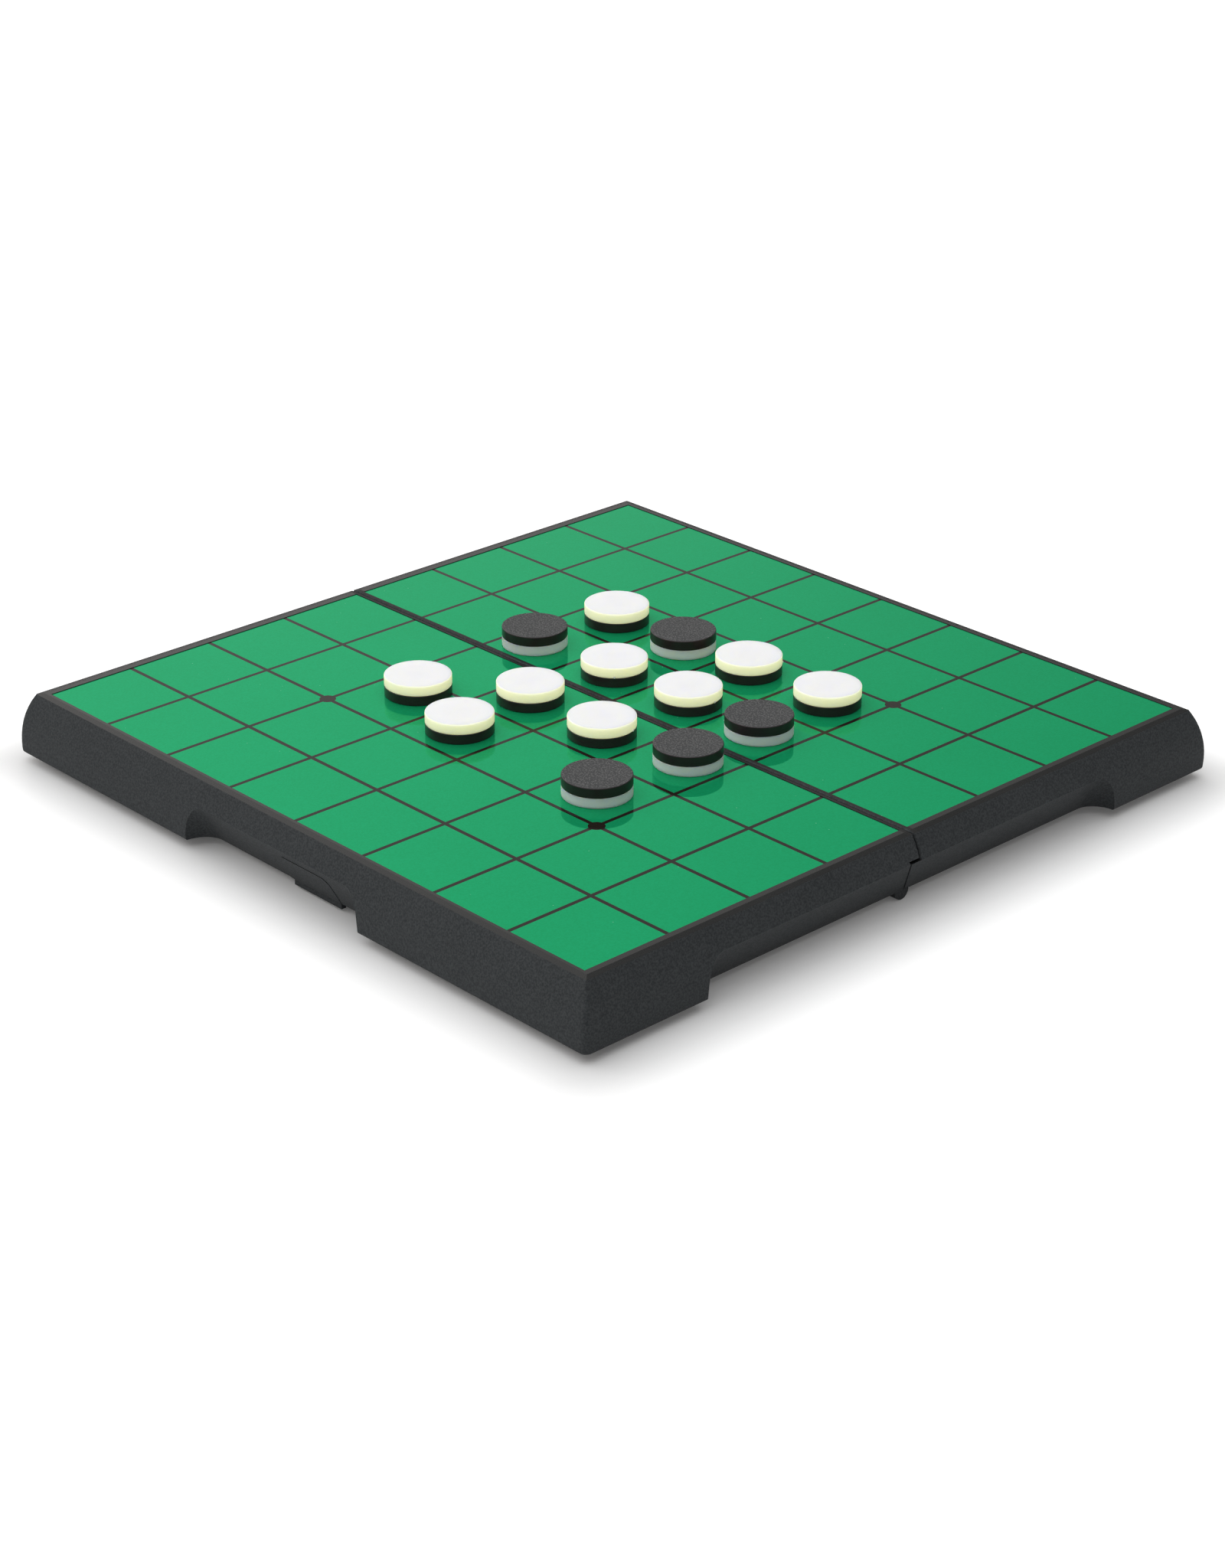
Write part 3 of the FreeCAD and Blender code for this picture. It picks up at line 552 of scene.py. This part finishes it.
# %% [markdown]
# ### Which piece gets which
#
# Most pieces take the finish that a word in their name asks for. A white half also depends on
# which way up its disc lies, and that is measured: it is the upper half if its middle is above the
# magnet's. Each black half gets a material of its own, because its rings turn round its own centre.

# %% Put the finishes on


def middle(name):
    low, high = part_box(name)
    return (Vector(low) + Vector(high)) / 2


def lies_on_top(name):
    """Whether this half of a disc is the upper one."""
    return middle(name).z > middle(name[:len("disc_01")] + "_magnet").z


def finish_of(name):
    if "white" in name and lies_on_top(name):
        return UPPER_WHITE_PAINTED_LIGHT
    for word, material in FINISH.items():
        if word in name:
            return material
    return disc_black(name + "_finish", middle(name))


for name, piece in nodes.items():
    material = finish_of(name)
    piece.data.materials.clear()
    piece.data.materials.append(material)
    print(name, material.name)

# %% [markdown]
# ## Gate marks
#
# Where the plastic entered the mould, each white half keeps a tiny nub on its side, at the joint
# with the black half. Four of them face the camera, and the others are turned away from it at
# angles that chance gives, from a fixed seed. The first step is to know where they all sit.

# %% Where the gate marks are
NUB_ANGLES = {4: -133.0, 8: -85.0, 11: -71.0, 5: -43.0}     # degrees from +X, by disc
NUB_LIFT = 0.30 * MM                                        # from the joint, on the white's side
AWAY = (30.0, 150.0)
DISC_COUNT = 14
chance = random.Random(14)
nub_places = {body: [] for body in frame["bodies"]}
for number in range(1, DISC_COUNT + 1):
    white = f"disc_{number:02d}_white_half"
    black = f"disc_{number:02d}_black_half"
    angle = math.radians(NUB_ANGLES.get(number, chance.uniform(*AWAY)))
    out = Vector((math.cos(angle), math.sin(angle), 0.0))
    white_low, white_high = (Vector(corner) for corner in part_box(white))
    black_low, black_high = (Vector(corner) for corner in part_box(black))
    level = black_high.z + NUB_LIFT if lies_on_top(white) else black_low.z - NUB_LIFT
    centre = (white_low + white_high) / 2
    radius = (white_high.x - white_low.x) / 2
    body = "left_half" if centre.x < 0 else "right_half"
    nub_places[body].append((Vector((centre.x, centre.y, level)) + out * radius, out))
print({body: len(places) for body, places in nub_places.items()})

# %% [markdown]
# The nubs could be modelled one by one, but they repeat, so a small Geometry Nodes tree makes
# them. The mesh that goes in has one point for each nub, with the way that it faces as an
# attribute, and the tree sets a rounded grain on each, a little larger or smaller by chance. It
# ends by making the instances real and giving them their material, because only real faces leave
# Blender in an export.

# %% A tree that sets a nub on each point
NUB_SIZES = (0.80, 1.15)


def nub_tree():
    tree = bpy.data.node_groups.new("gate_marks", "GeometryNodeTree")
    interface = tree.interface
    interface.new_socket("Geometry", in_out="INPUT", socket_type="NodeSocketGeometry")
    interface.new_socket("Radius", in_out="INPUT", socket_type="NodeSocketFloat")
    interface.new_socket("Seed", in_out="INPUT", socket_type="NodeSocketInt")
    interface.new_socket("Finish", in_out="INPUT", socket_type="NodeSocketMaterial")
    interface.new_socket("Geometry", in_out="OUTPUT", socket_type="NodeSocketGeometry")
    build = Recipe(tree)
    given = {}
    for name in ("Geometry", "Radius", "Seed", "Finish"):
        given[name] = build.node("NodeGroupInput", {}, {}, output=name)
    out = build.node(
        "GeometryNodeInputNamedAttribute", {"data_type": "FLOAT_VECTOR"}, {"Name": "out"}
    )
    facing = build.node("FunctionNodeAlignRotationToVector", {"axis": "Z"}, {"Vector": out})
    ball = build.node(
        "GeometryNodeMeshIcoSphere", {}, {"Radius": given["Radius"], "Subdivisions": 3}
    )
    size = build.node(
        "FunctionNodeRandomValue",
        {"data_type": "FLOAT"},
        {2: NUB_SIZES[0], 3: NUB_SIZES[1], "Seed": given["Seed"]},
        output=1,
    )
    set_out = build.node(
        "GeometryNodeInstanceOnPoints",
        {},
        {"Points": given["Geometry"], "Instance": ball, "Rotation": facing, "Scale": size},
    )
    real = build.node("GeometryNodeRealizeInstances", {}, {"Geometry": set_out})
    painted = build.node(
        "GeometryNodeSetMaterial", {}, {"Geometry": real, "Material": given["Finish"]}
    )
    build.node("NodeGroupOutput", {}, {"Geometry": painted})
    return tree


gate_tree = nub_tree()
print(gate_tree.name + ":", len(gate_tree.nodes), "nodes")

# %% [markdown]
# A tree does nothing until a modifier on an object runs it. The inputs are set by their
# identifiers before the object is first evaluated, then the result is copied to a plain mesh, and
# the object with the modifier is removed.

# %% Make the gate marks, one piece for each half
NUB_RADIUS = 0.35 * MM


def run_tree(name, tree, mesh, values):
    """The tree's result on a mesh, as a plain mesh object at the origin."""
    start = bpy.data.objects.new(name + "_points", mesh)
    bpy.context.scene.collection.objects.link(start)
    modifier = start.modifiers.new("tree", "NODES")
    modifier.node_group = tree
    for item in tree.interface.items_tree:
        if item.item_type == "SOCKET" and item.in_out == "INPUT" and item.name in values:
            modifier[item.identifier] = values[item.name]
    evaluated = start.evaluated_get(bpy.context.evaluated_depsgraph_get())
    made = bpy.data.objects.new(name, bpy.data.meshes.new_from_object(evaluated))
    bpy.data.objects.remove(start)
    bpy.context.scene.collection.objects.link(made)
    return made


for body, places in nub_places.items():
    points = bpy.data.meshes.new(body + "_gate_points")
    points.from_pydata([spot for spot, out in places], [], [])
    facings = points.attributes.new("out", "FLOAT_VECTOR", "POINT")
    facings.data.foreach_set("vector", [part for spot, out in places for part in out])
    values = {"Radius": NUB_RADIUS, "Seed": 5, "Finish": FINISH["white"]}
    marks = run_tree(body + "_gate_marks", gate_tree, points, values)
    for face in marks.data.polygons:
        face.use_smooth = True
    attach(marks, body)
    print(marks.name, len(marks.data.polygons), "faces")
